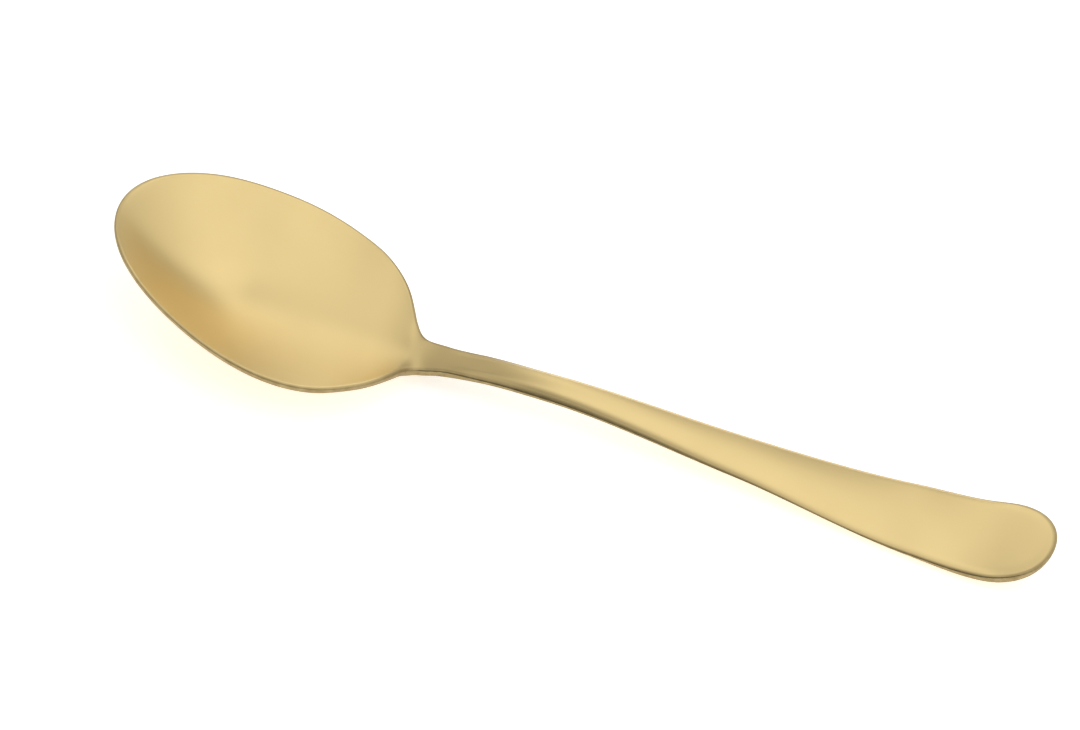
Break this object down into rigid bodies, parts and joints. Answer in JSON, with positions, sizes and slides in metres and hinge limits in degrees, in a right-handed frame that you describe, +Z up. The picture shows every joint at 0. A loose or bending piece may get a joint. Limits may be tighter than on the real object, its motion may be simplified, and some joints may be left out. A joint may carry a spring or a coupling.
{
  "type": "teaspoon",
  "caption": "One-piece metal teaspoon with a deep oval bowl, narrow neck and a long crowned handle that widens to a blunt, upturned end, in a satin gold finish.",
  "frame": {"origin": "On the table under the middle of the spoon's box, lying face up: x and y centred, z at the lowest point of the bowl's back", "axes": "+X from the bowl to the end of the handle, +Y across the spoon, +Z up out of the bowl"},
  "size_m": [0.138, 0.0338, 0.0132],
  "materials": {
    "satin_gold": "satin gold coating on stainless steel"
  },
  "bodies": {
    "root": {"teaspoon": "satin_gold"}
  },
  "joints": []
}
